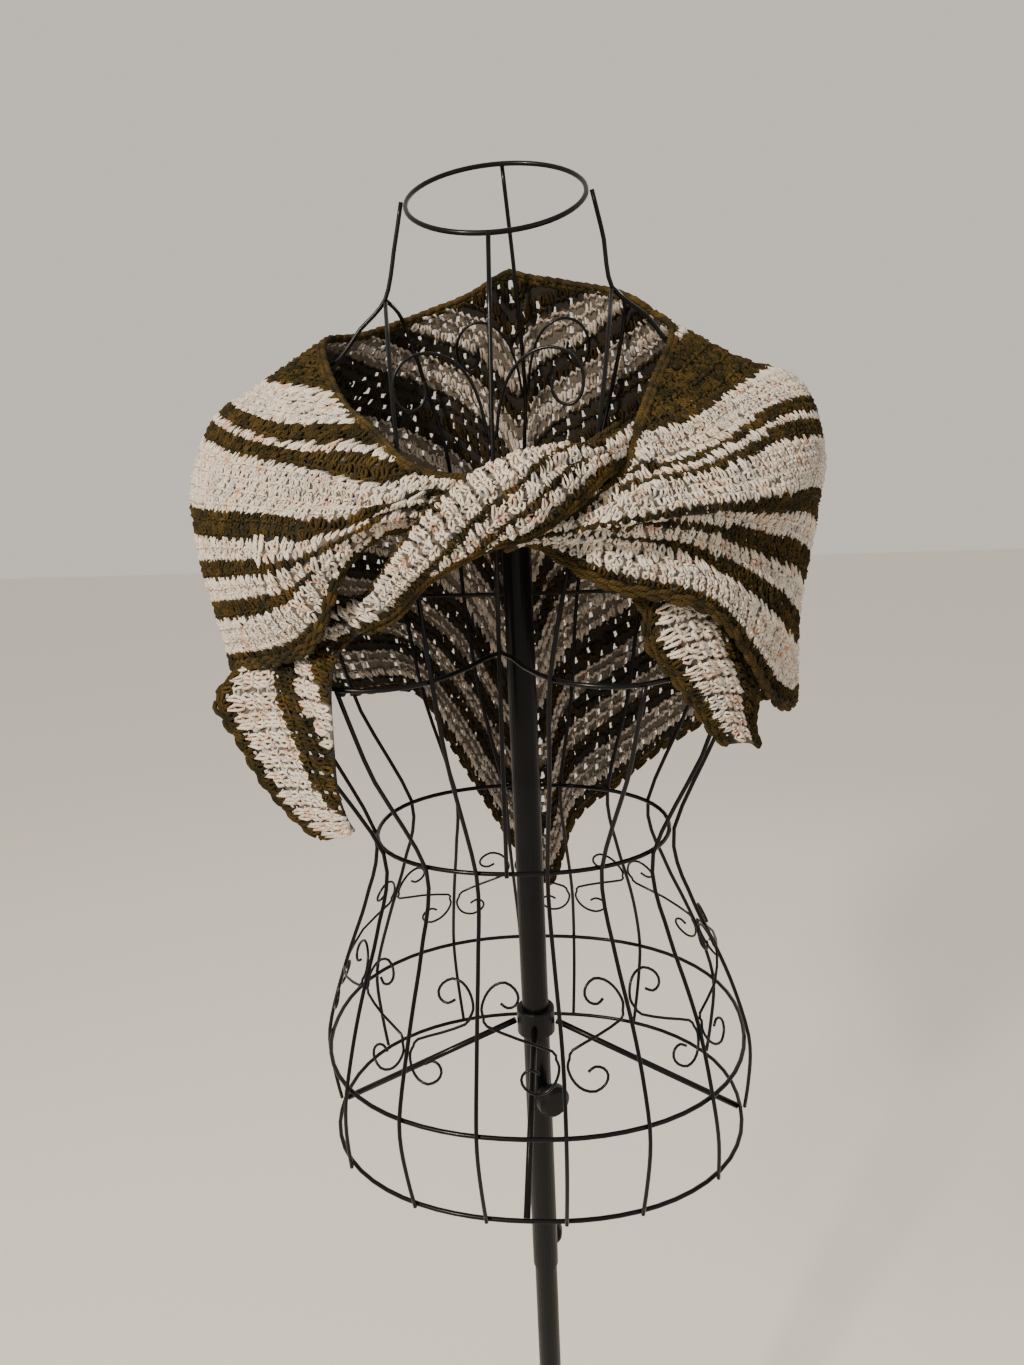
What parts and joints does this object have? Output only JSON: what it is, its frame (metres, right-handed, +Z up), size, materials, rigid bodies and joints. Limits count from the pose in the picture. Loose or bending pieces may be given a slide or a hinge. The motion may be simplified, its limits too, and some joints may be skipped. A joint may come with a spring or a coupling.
{
  "type": "crocheted shawlette on wire dress form",
  "caption": "Crocheted triangular shawl, wrapped forward and tied once in front, on a limbless wire dress form with a height-adjustable pole stand on a round base.",
  "frame": {"origin": "centre of the base's underside, on the pole's axis, on the floor", "axes": "+Z up along the pole, the form faces -Y, +X to the viewer's right"},
  "size_m": [0.4395, 0.3619, 1.4666],
  "materials": {
    "crochet_cotton": "crocheted worsted cotton, olive-brown and speckled cream rows, matt",
    "black_wire": "gloss black painted steel wire",
    "black_tube": "gloss black painted steel",
    "black_knob": "satin black plastic"
  },
  "bodies": {
    "stand": {"base": "black_tube", "lower_pole": "black_tube"},
    "form": {"boss_front": "black_tube", "boss_rear": "black_tube", "centre_back": "black_wire", "centre_front": "black_wire", "chest_scroll_left": "black_wire", "chest_scroll_right": "black_wire", "collar": "black_tube", "hip_scroll_01": "black_wire", "hip_scroll_02": "black_wire", "hip_scroll_03": "black_wire", "hip_scroll_04": "black_wire", "hip_scroll_05": "black_wire", "hip_scroll_06": "black_wire", "hip_scroll_07": "black_wire", "hip_scroll_08": "black_wire", "hip_scroll_09": "black_wire", "hip_scroll_10": "black_wire", "hip_scroll_11": "black_wire", "hip_scroll_12": "black_wire", "hip_scroll_13": "black_wire", "hip_scroll_14": "black_wire", "ring_bust": "black_wire", "ring_hem": "black_wire", "ring_hip": "black_wire", "ring_neck": "black_wire", "ring_waist": "black_wire", "shawl_back": "crochet_cotton", "shawl_left_tail": "crochet_cotton", "shawl_left_wing": "crochet_cotton", "shawl_over_band": "crochet_cotton", "shawl_right_tail": "crochet_cotton", "shawl_right_wing": "crochet_cotton", "strut_front": "black_wire", "strut_left": "black_wire", "strut_right": "black_wire", "upper_back_scroll_left": "black_wire", "upper_back_scroll_right": "black_wire", "upper_tube": "black_tube", "upright_back_inner_left": "black_wire", "upright_back_inner_right": "black_wire", "upright_back_outer_left": "black_wire", "upright_back_outer_right": "black_wire", "upright_back_side_left": "black_wire", "upright_back_side_right": "black_wire", "upright_front_side_left": "black_wire", "upright_front_side_right": "black_wire", "upright_princess_left": "black_wire", "upright_princess_right": "black_wire", "upright_side_front_left": "black_wire", "upright_side_front_right": "black_wire", "upright_side_left": "black_wire", "upright_side_right": "black_wire"},
    "knob_front": {"knob_front": "black_knob"},
    "knob_rear": {"knob_rear": "black_knob"}
  },
  "joints": [
    {"name": "mast_slide", "type": "slide", "parent": "stand", "child": "form", "axis": [0, 0, 1], "range_m": [-0.1, 0.15]},
    {"name": "knob_front_turn", "type": "hinge", "parent": "form", "child": "knob_front", "pos_m": [0, 0, 0.772], "axis": [0.5299, -0.848, 0], "continuous": true},
    {"name": "knob_rear_turn", "type": "hinge", "parent": "form", "child": "knob_rear", "pos_m": [0, 0, 0.607], "axis": [0, 1, 0], "continuous": true}
  ]
}
